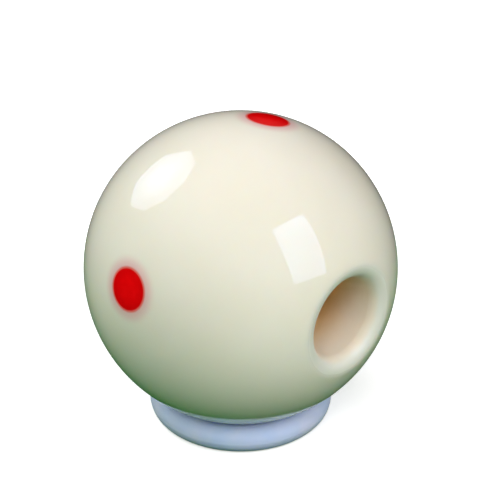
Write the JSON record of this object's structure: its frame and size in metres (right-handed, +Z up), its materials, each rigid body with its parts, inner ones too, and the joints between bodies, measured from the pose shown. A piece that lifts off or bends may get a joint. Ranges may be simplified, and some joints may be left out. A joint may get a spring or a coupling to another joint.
{
  "type": "practice cue ball",
  "caption": "Pool cue ball with a rounded through bore for a cue, flush red dots, and a soft round ring under it that keeps it from rolling and lets it turn.",
  "frame": {"origin": "on the table, under the middle of the rest ring and of the ball", "axes": "+Z up; the bore runs along Y, with its mouths facing -Y and +Y; +X is towards the red_dot_right side"},
  "size_m": [0.0572, 0.0532, 0.0587],
  "materials": {
    "ball_resin": "cast phenolic resin, polished",
    "dot_resin": "cast phenolic resin, polished",
    "ring_silicone": "moulded silicone, frosted"
  },
  "bodies": {
    "ring": {"rest_ring": "ring_silicone"},
    "ball": {"ball_body": "ball_resin", "red_dot_top": "dot_resin", "red_dot_right": "dot_resin", "red_dot_bottom": "dot_resin", "red_dot_left": "dot_resin"}
  },
  "joints": [
    {"name": "ball_swivel", "type": "hinge", "parent": "ring", "child": "ball", "pos_m": [0, 0, 0.03015], "axis": [0, 0, 1], "continuous": true}
  ]
}
